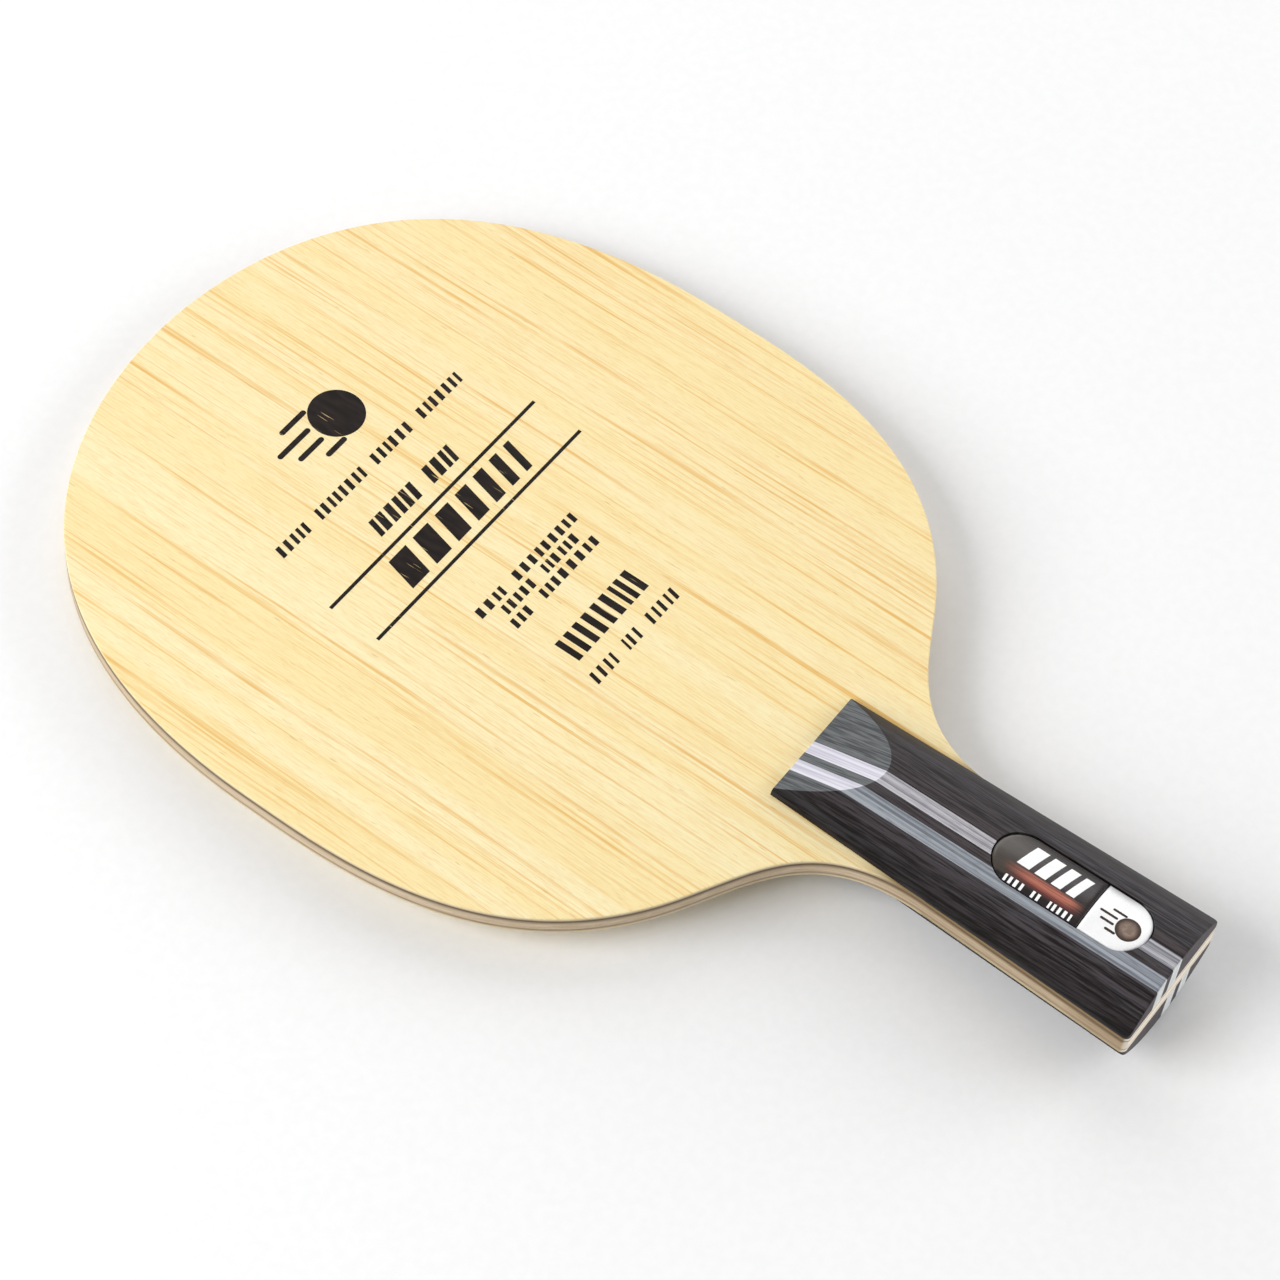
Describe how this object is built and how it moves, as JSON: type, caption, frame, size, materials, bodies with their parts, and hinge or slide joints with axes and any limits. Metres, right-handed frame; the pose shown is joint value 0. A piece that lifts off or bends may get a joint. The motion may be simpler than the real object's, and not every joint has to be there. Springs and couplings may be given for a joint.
{
  "type": "table tennis paddle",
  "caption": "Bare penhold table tennis paddle: egg-shaped plywood and carbon blade with a short laminated half-round handle and an inlaid capsule badge.",
  "frame": {"origin": "centre of the paddle's overall box: on its centre line, halfway from the tip of the head to the butt of the handle, at the middle of the blade's thickness", "axes": "+Y along the centre line towards the tip of the head, +Z out of the front (badge side) face, +X to the right when the front face is seen with its tip up"},
  "size_m": [0.1506, 0.243, 0.021],
  "materials": {
    "face_veneer": "pale cream straight-grained veneer, fine sanded, unvarnished",
    "core_wood": "light tan core ply, sanded edge",
    "carbon_ply": "thin dark carbon fibre and resin layer, sanded edge",
    "handle_dark_wood": "charcoal dyed laminated wood, satin",
    "handle_grey_wood": "blue-grey dyed wood stripe, satin",
    "badge_backing": "black backing plate",
    "badge_dark_panel": "dark brown-grey print under clear gloss",
    "badge_light_panel": "white print under clear gloss"
  },
  "bodies": {
    "root": {"front_face_ply": "face_veneer", "front_carbon_ply": "carbon_ply", "core_ply": "core_wood", "back_carbon_ply": "carbon_ply", "back_face_ply": "face_veneer", "front_handle_left_block": "handle_dark_wood", "front_handle_left_stripe": "handle_grey_wood", "front_handle_middle_strip": "handle_dark_wood", "front_handle_right_stripe": "handle_grey_wood", "front_handle_right_block": "handle_dark_wood", "back_handle_left_block": "handle_dark_wood", "back_handle_left_stripe": "handle_grey_wood", "back_handle_middle_strip": "handle_dark_wood", "back_handle_right_stripe": "handle_grey_wood", "back_handle_right_block": "handle_dark_wood", "badge_backing": "badge_backing", "badge_dark_panel": "badge_dark_panel", "badge_light_panel": "badge_light_panel"}
  },
  "joints": []
}
